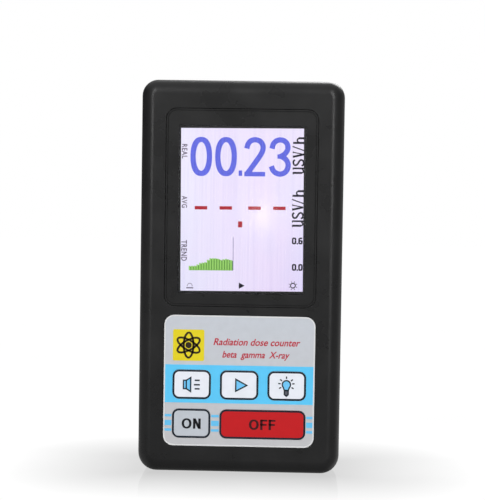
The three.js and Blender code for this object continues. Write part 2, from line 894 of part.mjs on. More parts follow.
place("main_board", mainBoard(), "board");
posts.forEach((post, index) => place(`case_screw_${index + 1}`, caseScrew(post), "steel"));

place("battery", battery(), "pouch");
place("battery_tape", batteryTape(), "adhesive");
place("battery_connector", batteryConnector(), "whitePlastic");
place("battery_lead_red", batteryLead(-1), "redLead");
place("battery_lead_black", batteryLead(1), "blackLead");

place("counter_tube", counterTube(), "glass");
place("tube_cap_lower", tubeCap(-1), "nickel");
place("tube_cap_upper", tubeCap(1), "nickel");
place("tube_clip_lower", tubeClip(-1), "nickel");
place("tube_clip_upper", tubeClip(1), "nickel");

place("hv_transformer", transformer(), "ferrite");
place("hv_capacitor", boardBox(capacitorSize, capacitorPlace), "redCoat");
place("processor_chip", boardBox(chipSize, chipPlace), "blackPart");
place("crystal", crystal(), "nickel");
place("buzzer", buzzer(), "blackPart");
place("charge_socket", chargeSocket(), "nickel");
place("charge_chip", chargeChip(), "blackPart");

export default counter;
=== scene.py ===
"""The looks of a hand-held geiger counter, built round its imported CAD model.

Metres. X is right, Y is back and Z is up, and the counter stands on the XY plane facing -Y.
Sizes written in millimetres pass through MM. Places come from the boxes of the CAD nodes.
"""

from math import copysign, cos, pi, radians, sin

import bmesh
import bpy
from mathutils import Matrix, Vector
from mathutils.geometry import tessellate_polygon


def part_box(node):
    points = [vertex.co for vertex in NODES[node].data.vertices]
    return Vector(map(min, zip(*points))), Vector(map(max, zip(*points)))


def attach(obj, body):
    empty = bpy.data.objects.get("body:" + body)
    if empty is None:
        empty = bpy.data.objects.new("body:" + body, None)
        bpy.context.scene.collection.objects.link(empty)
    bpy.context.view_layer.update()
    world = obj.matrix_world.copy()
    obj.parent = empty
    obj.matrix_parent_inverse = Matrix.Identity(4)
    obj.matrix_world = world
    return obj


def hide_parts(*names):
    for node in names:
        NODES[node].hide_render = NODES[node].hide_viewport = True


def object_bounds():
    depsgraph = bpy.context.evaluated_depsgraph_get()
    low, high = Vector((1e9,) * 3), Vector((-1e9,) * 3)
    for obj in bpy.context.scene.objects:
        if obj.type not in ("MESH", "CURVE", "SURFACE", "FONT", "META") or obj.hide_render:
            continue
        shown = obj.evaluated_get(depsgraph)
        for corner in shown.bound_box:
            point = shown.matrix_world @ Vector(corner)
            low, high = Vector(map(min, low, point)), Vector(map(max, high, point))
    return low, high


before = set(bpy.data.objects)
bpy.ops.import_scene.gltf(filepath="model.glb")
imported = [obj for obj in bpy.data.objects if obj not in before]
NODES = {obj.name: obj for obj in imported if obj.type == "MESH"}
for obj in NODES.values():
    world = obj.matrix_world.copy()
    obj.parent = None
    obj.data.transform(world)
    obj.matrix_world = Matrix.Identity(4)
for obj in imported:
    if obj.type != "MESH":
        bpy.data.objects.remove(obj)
cad_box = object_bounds()

MM = 0.001
CASE_LOW, CASE_HIGH = cad_box


def new_object(name, data):
    """An object of this data, linked into the scene."""
    made = bpy.data.objects.new(name, data)
    bpy.context.scene.collection.objects.link(made)
    return made


def new_mesh(name, bm):
    mesh = bpy.data.meshes.new(name)
    bm.to_mesh(mesh)
    bm.free()
    return mesh


# ------------------------ camera

CAMERA_BEARING = 1.83, 2.84
CAMERA_ROLL = radians(0.86)
CAMERA_DISTANCE = 500 * MM
CAMERA_AIM = Vector((0.09, 0.0, 66.64)) * MM
CAMERA_LENS = 117.76


def bearing_of(azimuth, elevation):
    """The direction at these angles, in degrees. Azimuth 0 is in front of the counter."""
    a, e = radians(azimuth), radians(elevation)
    return Vector((sin(a) * cos(e), -cos(a) * cos(e), sin(e)))


def make_camera():
    data = bpy.data.cameras.new("camera")
    data.lens = CAMERA_LENS
    data.clip_start = 0.01
    camera = new_object("camera", data)
    back = bearing_of(*CAMERA_BEARING)
    turn = (-back).to_track_quat("-Z", "Y").to_matrix().to_4x4()
    place = Matrix.Translation(CAMERA_AIM + back * CAMERA_DISTANCE)
    camera.matrix_world = place @ turn @ Matrix.Rotation(CAMERA_ROLL, 4, "Z")
    bpy.context.scene.camera = camera
    return camera


camera = make_camera()


# ------------------------ colours and materials


def linear(red, green, blue):
    """The linear colour of a display colour whose parts run from 0 to 255."""
    parts = []
    for part in (red, green, blue):
        share = part / 255
        parts.append(share / 12.92 if share <= 0.04045 else ((share + 0.055) / 1.055) ** 2.4)
    return (*parts, 1.0)


def shade(colour, factor):
    """A linear colour made darker or lighter."""
    return (*(part * factor for part in colour[:3]), 1.0)


class Nodes:
    """Short ways to build a node tree."""

    def __init__(self, tree):
        self.tree = tree

    def add(self, kind, **settings):
        made = self.tree.nodes.new(kind)
        for setting, value in settings.items():
            setattr(made, setting, value)
        return made

    def link(self, source, target):
        self.tree.links.new(source, target)

    def fill(self, socket, value):
        """Links a socket, or sets it where the value is plain."""
        if isinstance(value, bpy.types.NodeSocket):
            self.link(value, socket)
        else:
            socket.default_value = value

    def spread(self, source, low, high, from_low=0.3, from_high=0.7):
        made = self.add("ShaderNodeMapRange")
        for socket, value in zip(made.inputs[1:5], (from_low, from_high, low, high)):
            socket.default_value = value
        self.link(source, made.inputs["Value"])
        return made.outputs["Result"]

    def ramp(self, source, *stops):
        """A colour ramp of (place, colour) stops."""
        made = self.add("ShaderNodeValToRGB")
        band = made.color_ramp
        while len(band.elements) < len(stops):
            band.elements.new(0.5)
        for element, (where, colour) in zip(band.elements, stops):
            element.position = where
            element.color = colour
        self.link(source, made.inputs["Fac"])
        return made.outputs["Color"]

    def greys(self, source, *stops):
        """The same in greys, for a source that runs from -1 to 1."""
        share = self.spread(source, 0, 1, -1, 1)
        return self.ramp(share, *(((place + 1) / 2, (grey, grey, grey, 1)) for place, grey in stops))

    def blend(self, share, first, second, how="MIX"):
        made = self.add("ShaderNodeMix", data_type="RGBA", blend_type=how)
        sockets = [s for s in made.inputs if s.enabled]
        for socket, value in zip(sockets, (share, first, second)):
            self.fill(socket, value)
        return next(s for s in made.outputs if s.enabled)

    def maths(self, operation, *values):
        made = self.add("ShaderNodeMath", operation=operation)
        for socket, value in zip(made.inputs, values):
            self.fill(socket, value)
        return made.outputs["Value"]

    def total(self, first, second, weight):
        return self.maths("MULTIPLY_ADD", second, weight, first)

    def product(self, first, second):
        return self.maths("MULTIPLY", first, second)


class Finish(Nodes):
    """A Principled material, with the texture nodes that vary it in the frame's own coordinates."""

    def __init__(self, name, **sockets):
        self.material = bpy.data.materials.new(name)
        self.material.use_nodes = True
        super().__init__(self.material.node_tree)
        self.surface = self.tree.nodes["Principled BSDF"]
        self.colour = sockets.get("Base_Color")
        for socket, value in sockets.items():
            self.surface.inputs[socket.replace("_", " ")].default_value = value

    def set(self, socket, source):
        self.link(source, self.surface.inputs[socket])

    def shades(self, source, *stops):
        """Varies the base colour: each stop is a place and a factor on its brightness."""
        colours = ((place, shade(self.colour, factor)) for place, factor in stops)
        self.set("Base Color", self.ramp(source, *colours))

    def gloss(self, source, low, high, *reach):
        self.set("Roughness", self.spread(source, low, high, *reach))

    def coordinates(self, stretch=(1, 1, 1), turn=(0, 0, 0)):
        where = self.add("ShaderNodeTexCoord")
        mapping = self.add("ShaderNodeMapping")
        mapping.inputs["Scale"].default_value = stretch
        mapping.inputs["Rotation"].default_value = turn
        self.link(where.outputs["Object"], mapping.inputs["Vector"])
        return mapping.outputs["Vector"]

    def noise(self, size, detail=2.0, stretch=(1, 1, 1), turn=(0, 0, 0)):
        """Noise whose features are about this size in metres."""
        made = self.add("ShaderNodeTexNoise")
        made.inputs["Scale"].default_value = 1 / size
        made.inputs["Detail"].default_value = detail
        self.link(self.coordinates(stretch, turn), made.inputs["Vector"])
        return made.outputs["Fac"]

    def cells(self, size, feature="F1", stretch=(1, 1, 1)):
        made = self.add("ShaderNodeTexVoronoi", feature=feature)
        made.inputs["Scale"].default_value = 1 / size
        self.link(self.coordinates(stretch), made.inputs["Vector"])
        return made.outputs["Distance"]

    def waves(self, size, direction, distortion=0.0):
        made = self.add("ShaderNodeTexWave", bands_direction=direction)
        made.inputs["Scale"].default_value = pi / (10 * size)
        made.inputs["Distortion"].default_value = distortion
        self.link(self.coordinates(), made.inputs["Vector"])
        return made.outputs["Fac"]

    def along(self, axis, start, end):
        """A share that runs from 0 to 1 between two places on an axis."""
        split = self.add("ShaderNodeSeparateXYZ")
        self.link(self.coordinates(), split.inputs["Vector"])
        return self.spread(split.outputs[axis], 0, 1, start, end)

    def bump(self, height, strength, depth):
        made = self.add("ShaderNodeBump")
        made.inputs["Strength"].default_value = strength
        made.inputs["Distance"].default_value = depth
        self.link(height, made.inputs["Height"])
        self.set("Normal", made.outputs["Normal"])


def moulded(name, colour, roughness, grain=0.28 * MM, depth=0.02 * MM, shine=0.5):
    """Moulded plastic: a fine eroded grain, with slight clouding of its colour and gloss."""
    finish = Finish(name, Base_Color=colour, Roughness=roughness, Specular_IOR_Level=shine)
    cloud = finish.noise(9 * MM, 4)
    fine = finish.noise(grain, 3)
    tone = finish.spread(finish.total(cloud, fine, 0.5), 0, 1, 0.45, 1.05)
    finish.shades(tone, (0, 0.86), (1, 1.14))
    finish.gloss(cloud, roughness - 0.05, roughness + 0.05)
    finish.bump(fine, 0.35, depth)
    return finish.material


PRINT_ROUGHNESS = 0.34


def printed(name, colour, foot=None):
    """Screen print on polyester film: a satin face with a very fine tooth and slight ink mottle.

    foot is the colour at the film's lower edge: painted shade, the print made darker towards the
    bottom where less light falls.
    """
    sheen = {"Roughness": PRINT_ROUGHNESS, "Specular_IOR_Level": 0.35}
    finish = Finish(name, Base_Color=colour, **sheen)
    mottle = finish.noise(2.2 * MM, 5)
    tooth = finish.noise(0.12 * MM, 2)
    low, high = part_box("keypad_overlay")
    # The ink fades to foot at the lower edge: painted shade, darker towards the bottom.
    ink = finish.ramp(finish.along("Z", low.z, high.z), (0.0, foot or colour), (1.0, colour))
    shading = finish.ramp(mottle, (0.3, (0.975, 0.975, 0.975, 1)), (0.7, (1.02, 1.02, 1.02, 1)))
    finish.set("Base Color", finish.blend(1.0, ink, shading, "MULTIPLY"))
    finish.gloss(tooth, PRINT_ROUGHNESS - 0.04, PRINT_ROUGHNESS + 0.06)
    finish.bump(tooth, 0.3, 0.004 * MM)
    return finish.material


PICTURE_STRENGTH = 1.12


def glowing(name):
    """The start of a lit finish, whose colour is all emission."""
    return Finish(
        name,
        Base_Color=(0.004, 0.004, 0.004, 1),
        Roughness=0.4,
        Specular_IOR_Level=0.0,
        Emission_Strength=PICTURE_STRENGTH,
    )


def lit(name, colour, line_depth):
    """Lit dots of the display, with the panel's fine upright lines showing through the colour."""
    finish = glowing(name)
    lines = finish.noise(0.32 * MM, 2, stretch=(1, 1, 0.02))
    rows = finish.noise(0.3 * MM, 1, stretch=(0.1, 1, 1))
    tone = finish.total(lines, rows, 0.35)
    ends = ((0.4, shade(colour, 1 - line_depth)), (0.9, shade(colour, 1 + line_depth)))
    finish.set("Emission Color", finish.ramp(tone, *ends))
    return finish.material


def metal(name, colour, roughness, size, stretch=(1, 1, 1)):
    """Metal whose brightness and gloss vary along its grain."""
    finish = Finish(name, Base_Color=colour, Roughness=roughness, Metallic=1.0)
    grain = finish.noise(size, 4, stretch=stretch)
    cloud = finish.noise(6 * MM, 3)
    finish.shades(grain, (0.25, 0.8), (0.75, 1.12))
    finish.gloss(cloud, roughness - 0.07, roughness + 0.1)
    finish.bump(grain, 0.3, 0.01 * MM)
    return finish.material


def picture_finish():
    """The display's lit background: near white, cooler at its left, with fine upright lines."""
    finish = glowing("picture")
    low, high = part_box("window_lens")
    across = finish.along("X", low.x, high.x)
    up = finish.along("Z", low.z, high.z)
    top_tints = (
        (0.0, 240, 236, 252), (0.35, 239, 229, 252), (0.7, 240, 228, 251), (1.0, 236, 229, 250),
    )
    bottom_tints = (
        (0.0, 231, 228, 248), (0.45, 235, 225, 249), (0.8, 232, 218, 247), (1.0, 222, 213, 246),
    )
    top, bottom = (
        finish.ramp(across, *((place, linear(*tint)) for place, *tint in tints))
        for tints in (top_tints, bottom_tints)
    )
    base = finish.blend(finish.spread(up, 1, 0, 0.0, 0.55), top, bottom)
    lines = finish.noise(0.45 * MM, 3, stretch=(1, 1, 0.012))
    clouds = finish.noise(7 * MM, 2, stretch=(1, 1, 0.6))
    dim = finish.ramp(lines, (0.32, (0.93, 0.925, 0.96, 1)), (0.6, (1.0, 1.0, 1.0, 1)))
    patchy = finish.ramp(clouds, (0.35, (0.975, 0.985, 1.0, 1)), (0.65, (1.0, 0.985, 1.0, 1)))
    lined = finish.blend(1.0, base, dim, "MULTIPLY")
    finish.set("Emission Color", finish.blend(1.0, lined, patchy, "MULTIPLY"))
    return finish.material


def clear_finish():
    """Clear acrylic, with faint wiping marks in its gloss."""
    clear = (0.97, 0.98, 0.985, 1)
    optics = {"Roughness": 0.09, "IOR": 1.49, "Transmission_Weight": 1.0}
    finish = Finish("clear_acrylic", Base_Color=clear, **optics)
    wipes = finish.noise(5 * MM, 4, stretch=(1, 1, 0.4), turn=(0, 0.5, 0))
    finish.gloss(wipes, 0.07, 0.12)
    return finish.material


def board_finish():
    """Green solder mask over copper tracks, which show as slightly raised, lighter lines."""
    mask = (0.008, 0.075, 0.03, 1)
    finish = Finish("solder_mask", Base_Color=mask, Roughness=0.32, Coat_Weight=0.3)
    tracks = finish.cells(2.6 * MM, "DISTANCE_TO_EDGE", stretch=(1, 1, 0.55))
    raised = finish.spread(tracks, 1, 0, 0.05, 0.09)
    weave = finish.waves(0.5 * MM, "DIAGONAL", 0.4)
    colour = finish.ramp(raised, (0.0, mask), (1.0, (0.016, 0.14, 0.05, 1)))
    woven = finish.blend(finish.spread(weave, 0.0, 0.25, 0, 1), colour, (0.004, 0.05, 0.02, 1))
    finish.set("Base Color", woven)
    finish.gloss(weave, 0.28, 0.4, 0, 1)
    finish.bump(raised, 0.5, 0.035 * MM)
    return finish.material


def pouch_finish():
    """Creased aluminium foil laminate of the battery."""
    finish = Finish("pouch_foil", Base_Color=(0.52, 0.54, 0.55, 1), Roughness=0.34, Metallic=0.75)
    creases = finish.cells(3.4 * MM, stretch=(1, 1, 0.7))
    fine = finish.noise(0.6 * MM, 4)
    finish.shades(fine, (0.3, 0.85), (0.7, 1.08))
    finish.gloss(fine, 0.28, 0.42)
    finish.bump(finish.total(creases, fine, 0.3), 0.45, 0.12 * MM)
    return finish.material


def flex_finish():
    """Amber polyimide with the flat cable's copper tracks under it."""
    finish = Finish("amber_film", Base_Color=(0.5, 0.17, 0.03, 1), Roughness=0.3, Coat_Weight=0.2)
    tracks = finish.waves(0.5 * MM, "X")
    copper = finish.ramp(tracks, (0.35, (0.2, 0.06, 0.012, 1)), (0.6, (0.6, 0.24, 0.06, 1)))
    finish.set("Base Color", copper)
    finish.gloss(tracks, 0.26, 0.38, 0, 1)
    finish.bump(tracks, 0.4, 0.02 * MM)
    return finish.material


def tube_finish():
    """The counter tube: glass with a grey conducting coat, thin enough to see a little way in."""
    optics = {"Roughness": 0.12, "Transmission_Weight": 0.35, "IOR": 1.5}
    finish = Finish("coated_glass", Base_Color=(0.3, 0.33, 0.36, 1), **optics)
    coat = finish.noise(1.6 * MM, 5, stretch=(1, 1, 0.25))
    greyed = finish.ramp(coat, (0.3, (0.2, 0.22, 0.24, 1)), (0.7, (0.36, 0.4, 0.43, 1)))
    finish.set("Base Color", greyed)
    finish.gloss(coat, 0.07, 0.2)
    finish.bump(coat, 0.15, 0.01 * MM)
    return finish.material


def foam_finish():
    """Closed-cell foam: open cut cells on a soft dark face."""
    grey = (0.018, 0.018, 0.019, 1)
    finish = Finish("foam", Base_Color=grey, Roughness=0.95, Specular_IOR_Level=0.2)
    cells = finish.cells(0.35 * MM)
    finish.shades(cells, (0.1, 0.5), (0.6, 1.5))
    finish.bump(cells, 0.8, 0.1 * MM)
    return finish.material


def grained(name, colour, grain, darker, lighter, gloss, bump, **sockets):
    """A material whose colour, gloss and relief all follow one noise."""
    finish = Finish(name, Base_Color=colour, **sockets)
    source = finish.noise(*grain)
    finish.shades(source, darker, lighter)
    finish.gloss(source, *gloss)
    finish.bump(source, *bump)
    return finish.material


def tape_finish():
    """Double-sided tape: a pale matt carrier with paper fibres in it."""
    colour = (0.74, 0.72, 0.65, 1)
    grain = (0.5 * MM, 5, (1, 1, 0.3))
    sockets = {"Specular_IOR_Level": 0.3}
    bump = (0.35, 0.03 * MM)
    return grained("tape", colour, grain, (0.3, 0.88), (0.7, 1.06), (0.8, 0.8), bump, **sockets)


def ferrite_finish():
    """Ground ferrite, with the lighter pits and chips of a pressed powder."""
    colour = (0.045, 0.042, 0.04, 1)
    bump = (0.5, 0.04 * MM)
    return grained("ferrite", colour, (0.5 * MM, 6), (0.35, 0.6), (0.7, 1.5), (0.5, 0.75), bump)


def dipped_finish():
    """The capacitor's thick dipped epoxy, with its orange-peel face."""
    colour = (0.34, 0.035, 0.018, 1)
    grain = (0.9 * MM, 3)
    sockets = {"Coat_Weight": 0.5}
    bump = (0.5, 0.06 * MM)
    gloss = (0.24, 0.38)
    return grained("dipped_epoxy", colour, grain, (0.3, 0.8), (0.7, 1.15), gloss, bump, **sockets)


def lead_finish(name, colour):
    """Soft insulation with a slight drag along the wire."""
    grain = (0.3 * MM, 3, (1, 1, 0.15))
    return grained(name, colour, grain, (0.3, 0.85), (0.7, 1.12), (0.36, 0.5), (0.3, 0.02 * MM))


# Colours of the prints, and of the lit dots with the depth of the lines across them.
PRINT_COLOURS = {
    "band": (96, 206, 254),
    "stripe": (106, 199, 246),
    "patch": (234, 215, 30),
    "symbol": (46, 34, 14),
    "outline": (18, 30, 44),
    "key_white": (239, 243, 252),
    "key_grey": (197, 203, 211),
    "key_red": (200, 20, 27),
    "title": (188, 24, 50),
    "label_black": (18, 20, 28),
    "label_maroon": (58, 12, 20),
    "icon_blue": (116, 205, 252),
    "icon_grey": (92, 94, 104),
}
DOT_COLOURS = {
    "digit": (95, 103, 220, 0.16),
    "dash": (172, 28, 44, 0.1),
    "bar_light": (150, 206, 104, 0.05),
    "bar_dark": (84, 140, 52, 0.05),
    "unit": (12, 6, 26, 0.3),
    "faint": (92, 82, 104, 0.2),
    "line": (140, 128, 170, 0.1),
}
FILM_GREY = linear(203, 208, 216)
# Painted shade: the film's colour at its lower edge, darker where less light falls.
FILM_SHADED_FOOT = linear(199, 199, 202)
# Painted highlight: the pale band of the film's cut edge where it catches the light.
FILM_RIM_HIGHLIGHT = linear(226, 227, 228)
CASE_GREY = (0.0146, 0.0146, 0.0149, 1)
PANEL_BLACK = (0.006, 0.006, 0.008, 1)

LOOKS = {
    "case": moulded("case_plastic", CASE_GREY, 0.3, shine=0.3),
    "bezel": moulded("bezel_plastic", CASE_GREY, 0.3, 0.2 * MM, 0.01 * MM, 0.3),
    "black": moulded("black_moulding", (0.016, 0.016, 0.017, 1), 0.5),
    "nylon": moulded("white_nylon", (0.8, 0.79, 0.72, 1), 0.48),
    # The film's print, with painted shade towards its lower edge.
    "film": printed("film_print", FILM_GREY, FILM_SHADED_FOOT),
    # A painted highlight along the film's cut edge.
    "film_rim_highlight": printed("film_rim_highlight", FILM_RIM_HIGHLIGHT),
    "clear": clear_finish(),
    "picture": picture_finish(),
    "glass_panel": moulded("panel_glass", PANEL_BLACK, 0.2, 2 * MM, 0.002 * MM),
    "tray": metal("tray_aluminium", (0.5, 0.51, 0.52, 1), 0.33, 0.4 * MM, (0.1, 1, 1)),
    "steel": metal("screw_zinc", (0.11, 0.11, 0.12, 1), 0.36, 0.3 * MM),
    "nickel": metal("nickel_plate", (0.6, 0.59, 0.56, 1), 0.2, 0.5 * MM, (1, 1, 0.2)),
    "pouch": pouch_finish(),
    "flex": flex_finish(),
    "foam": foam_finish(),
    "tape": tape_finish(),
    "board": board_finish(),
    "glass": tube_finish(),
    "ferrite": ferrite_finish(),
    "dipped": dipped_finish(),
    "lead_red": lead_finish("red_insulation", (0.48, 0.012, 0.012, 1)),
    "lead_black": lead_finish("black_insulation", (0.012, 0.012, 0.012, 1)),
}
for look, colour in PRINT_COLOURS.items():
    LOOKS[look] = printed(f"{look}_print", linear(*colour))
for look, (*colour, line_depth) in DOT_COLOURS.items():
    LOOKS[look] = lit(f"{look}_dots", linear(*colour), line_depth)


# ------------------------ pieces


def add_piece(name, mesh, look, body):
    mesh.materials.clear()
    mesh.materials.append(LOOKS[look])
    piece = new_object(name, mesh)
    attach(piece, body)
    return piece


def even_normals(piece):
    """Keeps the flat faces flat beside the small rounds."""
    modifier = piece.modifiers.new("even_normals", "WEIGHTED_NORMAL")
    modifier.keep_sharp = True
    modifier.weight = 80


def clean_bmesh(node):
    """The node's surface with its triangles joined into the faces they stand for."""
    bm = bmesh.new()
    bm.from_mesh(NODES[node].data)
    bmesh.ops.remove_doubles(bm, verts=bm.verts, dist=0.001 * MM)
    bmesh.ops.dissolve_limit(
        bm, angle_limit=radians(0.4), verts=bm.verts, edges=bm.edges, delimit=set()
    )
    return bm


def finished(node, look, body, rims, round_width=0.12 * MM):
    """A fine copy of a CAD node, with the sharp edges that pass the rims test slightly rounded."""
    bm = clean_bmesh(node)
    chosen = [
        edge
        for edge in bm.edges
        if len(edge.link_faces) == 2
        and edge.calc_face_angle() > radians(50)
        and all(rims(vert.co) for vert in edge.verts)
    ]
    if chosen:
        bmesh.ops.bevel(
            bm, geom=chosen, offset=round_width, offset_type="OFFSET", segments=2, profile=0.5,
            affect="EDGES", clamp_overlap=True,
        )
    name = f"{node}_finished"
    mesh = new_mesh(name, bm)
    mesh.shade_smooth()
    mesh.set_sharp_from_angle(angle=radians(40))
    piece = add_piece(name, mesh, look, body)
    even_normals(piece)
    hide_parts(node)
    return piece


def dress(node, look):
    """The CAD node stays as it is and gets its finish and clean shading."""
    piece = NODES[node]
    piece.data.materials.clear()
    piece.data.materials.append(LOOKS[look])
    weld = piece.modifiers.new("weld", "WELD")
    weld.merge_threshold = 0.001 * MM
    split = piece.modifiers.new("split", "EDGE_SPLIT")
    split.split_angle = radians(35)
    even_normals(piece)
    piece.data.shade_smooth()


# ------------------------ outlines

# An outline is a list of (x, z) points, in metres, that runs anticlockwise seen from the front.


def around(x, z, radius, angle):
    """A point on a circle."""
    return x + radius * cos(angle), z + radius * sin(angle)


def rounded(x, z, width, height, radius, steps=8):
    points = []
    corners = ((1, 1), (-1, 1), (-1, -1), (1, -1))
    for quarter, (right, up) in enumerate(corners):
        for step in range(steps + 1):
            angle = (quarter + step / steps) * pi / 2
            corner = x + right * (width / 2 - radius), z + up * (height / 2 - radius)
            points.append(around(*corner, radius, angle))
    return points


def oval(x, z, half_width, half_height, power=2.0, steps=48):
    """An ellipse, or with a higher power one with squarer shoulders."""
    points = []
    for step in range(steps):
        angle = 2 * pi * step / steps
        c, s = cos(angle), sin(angle)
        points.append((
            x + half_width * copysign(abs(c) ** (2 / power), c),
            z + half_height * copysign(abs(s) ** (2 / power), s),
        ))
    return points


def curve_through(points, steps=8):
    """A smooth line through these points."""
    last = len(points) - 1
    line = []
    for i in range(last):
        a, b, c, d = (Vector(points[min(max(i + k, 0), last)]) for k in (-1, 0, 1, 2))
        for step in range(steps):
            t = step / steps
            line.append(tuple(
                0.5 * (
                    2 * b
                    + (c - a) * t
                    + (2 * a - 5 * b + 4 * c - d) * t ** 2
                    + (3 * b - a - 3 * c + d) * t ** 3
                )
            ))
    line.append(tuple(points[-1]))
    return line


def stroke(points, width, closed=False):
    """The outline of a pen line, as loops: the outer one, and the hole of a closed line."""
    count = len(points)
    left, right = [], []
    for i, point in enumerate(points):
        here = Vector(point)
        before = Vector(points[i - 1]) if closed or i else here
        after = Vector(points[(i + 1) % count]) if closed or i < count - 1 else here
        into = (here - before).normalized() if before != here else (after - here).normalized()
        out = (after - here).normalized() if after != here else into
        middle = (into + out).normalized()
        across = Vector((-middle.y, middle.x))
        reach = width / 2 / max(across.dot(Vector((-into.y, into.x))), 0.5)
        left.append(tuple(here + across * reach))
        right.append(tuple(here - across * reach))
    if closed:
        return [right, left]
    return [right + left[::-1]]


def moved(shapes, origin, turn=0.0):
    """The same loops turned about their own zero and set down at an origin."""
    c, s = cos(turn), sin(turn)
    return [
        [[(origin[0] + c * u - s * v, origin[1] + s * u + c * v) for u, v in loop] for loop in shape]
        for shape in shapes
    ]


def scaled(points):
    return [(u * MM, v * MM) for u, v in points]


def add_flat(bm, loops, front, back):
    """A thin closed solid of one outline and its holes, between two places in Y."""
    flat = [[Vector((x, z, 0)) for x, z in loop] for loop in loops]
    triangles = tessellate_polygon(flat)
    places = [point for loop in loops for point in loop]
    faces = []
    for y in (front, back):
        faces.append([bm.verts.new((x, y, z)) for x, z in places])
    for a, b, c in triangles:
        for side in faces:
            bm.faces.new((side[a], side[b], side[c]))
    start = 0
    for loop in loops:
        for i in range(len(loop)):
            a, b = start + i, start + (i + 1) % len(loop)
            bm.faces.new((faces[0][a], faces[0][b], faces[1][b], faces[1][a]))
        start += len(loop)


def flat_piece(name, shapes, front, back, look, body):
    """A print or inlay: each shape is a list of loops, an outline and then its holes."""
    bm = bmesh.new()
    for loops in shapes:
        add_flat(bm, loops, front, back)
    bmesh.ops.recalc_face_normals(bm, faces=bm.faces)
    return add_piece(name, new_mesh(name, bm), look, body)


def text_piece(name, words, centre, size, depth, look, slot, **style):
    """Words in Blender's own plain font, fitted to a length and height in millimetres.

    style may give offset, which makes the letters bolder, lean, which slants them, space between
    letters, and turn, which turns the line about its centre.
    """
    curve = bpy.data.curves.new(name, "FONT")
    curve.body = words
    curve.extrude = 0.5
    curve.offset = style.get("offset", 0.0)
    curve.space_character = style.get("space", 1.0)
    curve.resolution_u = 6
    holder = new_object(name, curve)
    bpy.context.view_layer.update()
    mesh = bpy.data.meshes.new_from_object(
        holder.evaluated_get(bpy.context.evaluated_depsgraph_get())
    )
    bpy.data.objects.remove(holder)
    bpy.data.curves.remove(curve)
    lean = Matrix.Identity(4)
    lean[0][1] = style.get("lean", 0.0)
    mesh.transform(lean)
    spots = [vert.co for vert in mesh.vertices]
    low, high = (Vector([pick(spot[i] for spot in spots) for i in range(3)]) for pick in (min, max))
    mesh.transform(Matrix.Translation(-(low + high) / 2))
    front, back = depth
    length, height = scaled([size])[0]
    fit = (length / (high.x - low.x), height / (high.y - low.y), back - front)
    mesh.transform(Matrix.Diagonal((*fit, 1)))
    mesh.transform(Matrix.Rotation(style.get("turn", 0.0), 4, "Z"))
    mesh.transform(Matrix.Rotation(pi / 2, 4, "X"))
    mesh.transform(Matrix.Translation((centre[0], (front + back) / 2, centre[1])))
    bm = bmesh.new()
    bm.from_mesh(mesh)
    bmesh.ops.remove_doubles(bm, verts=bm.verts, dist=0.002 * MM)
    bmesh.ops.recalc_face_normals(bm, faces=bm.faces)
    bm.to_mesh(mesh)
    bm.free()
    mesh.name = name
    return add_piece(name, mesh, look, "case")


# ------------------------ case, bezel and lens


SEAM_GAP = 0.15 * MM


def near(value, place):
    return abs(value - place) < 0.01 * MM


def make_case():
    edge_zone = 1.5 * MM
    side = CASE_HIGH.x - edge_zone
    top = CASE_HIGH.z - edge_zone

    def on_outside(spot):
        return abs(spot.x) > side or spot.z < edge_zone or spot.z > top

    def shell(node, face_y, rim_y):
        def rims(spot):
            return near(spot.y, face_y) or (near(spot.y, rim_y) and on_outside(spot))

        finished(node, "case", "case", rims)

    front_y = CASE_LOW.y
    front_rim_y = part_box("front_shell")[1].y
    shell("front_shell", front_y, front_rim_y)
    shell("back_shell", CASE_HIGH.y, front_rim_y + SEAM_GAP)

    def on_bezel_face(spot):
        return spot.y < front_y + 0.2 * MM

    finished("screen_bezel", "bezel", "case", on_bezel_face, 0.05 * MM)
    lens_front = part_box("window_lens")[0].y
    finished("window_lens", "clear", "case", lambda spot: near(spot.y, lens_front))
    for number in range(1, 5):
        node = f"case_screw_{number}"
        head_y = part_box(node)[1].y - 0.9 * MM

        def on_head(spot, head_y=head_y):
            return spot.y > head_y

        finished(node, "steel", "case", on_head, 0.05 * MM)


# ------------------------ keypad

FILM_LOW, FILM_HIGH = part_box("keypad_overlay")
FILM_FRONT = FILM_LOW.y
PRINT_FRONT = FILM_FRONT - 0.03 * MM
PRINT_BACK = FILM_FRONT + 0.01 * MM
OVERPRINT_FRONT = PRINT_FRONT - 0.02 * MM
FILM_CORNER = 3.0 * MM
KEY_CORNER = 1.9 * MM
KEY_GAP = 0.12 * MM
OUTLINE_WIDTH = 0.5 * MM
KEY_LOOKS = {
    "sound": "key_white",
    "play": "key_white",
    "light": "key_white",
    "on": "key_grey",
    "off": "key_red",
}


def on_film(u, v):
    """A place on the film in millimetres from its lower left corner."""
    return FILM_LOW.x + u * MM, FILM_LOW.z + v * MM


def box_outline(low, high, radius, grow, steps=8):
    """The rounded outline of a box seen from the front, grown on all sides."""
    middle = (low + high) / 2
    size = high - low
    return rounded(middle.x, middle.z, size.x + 2 * grow, size.z + 2 * grow, radius + grow, steps)


def key_outline(key, grow):
    return box_outline(*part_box(f"key_{key}"), KEY_CORNER, grow)


def key_centre(key):
    low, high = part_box(f"key_{key}")
    return (low.x + high.x) / 2, (low.z + high.z) / 2


def make_film():
    def at_front(spot):
        return near(spot.y, FILM_FRONT)

    finished("keypad_overlay", "film", "case", at_front, 0.05 * MM)
    for key, look in KEY_LOOKS.items():
        finished(f"key_{key}", look, f"{key}_key", at_front, 0.06 * MM)


BAND_BOTTOM = 12.96
BAND_TOP = 24.41
STRIPES = ((9.06, 0.75), (6.84, 1.6), (4.73, 0.75))  # height and width
STRIPE_GAP = 0.3
FILM_MARGIN = 0.02 * MM
RIM_WIDTH = 0.42 * MM
PATCH_PLACE = (7.35, 30.28)
PATCH_SIDE = 9.4


